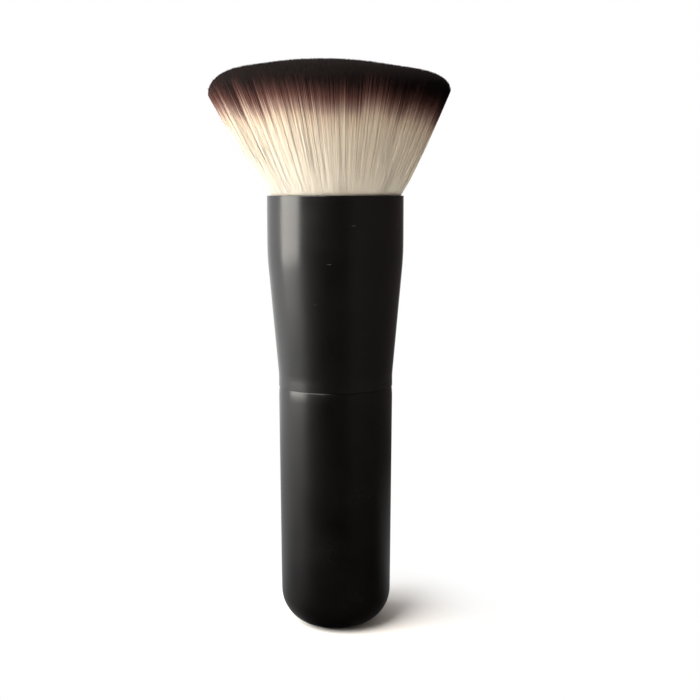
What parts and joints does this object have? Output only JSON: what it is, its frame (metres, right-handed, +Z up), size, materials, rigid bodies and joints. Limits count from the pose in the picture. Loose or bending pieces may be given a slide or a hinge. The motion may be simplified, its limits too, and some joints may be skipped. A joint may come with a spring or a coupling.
{
  "type": "kabuki makeup brush",
  "caption": "Short upright make-up brush with a flat-topped flaring tuft of cream fibres with dark tips, a black flared ferrule and a black turned handle with a rounded end.",
  "frame": {"origin": "centre of the flat at the end of the handle, on which the brush stands", "axes": "+Z up the brush's axis from the handle's end to the tuft; the tuft leans slightly towards -X; the picture looks along +Y"},
  "size_m": [0.0479, 0.0479, 0.1136],
  "materials": {
    "lacquered_wood": "satin",
    "glue": "gloss",
    "painted_aluminium": "satin",
    "resin": "gloss",
    "thread": "matte",
    "fibres": "matte"
  },
  "bodies": {
    "root": {"handle": "lacquered_wood", "tenon_glue": "glue", "ferrule": "painted_aluminium", "root_plug": "resin", "thread_tie": "thread", "bristles_core": "fibres", "bristles_middle": "fibres", "bristles_outer": "fibres"}
  },
  "joints": []
}
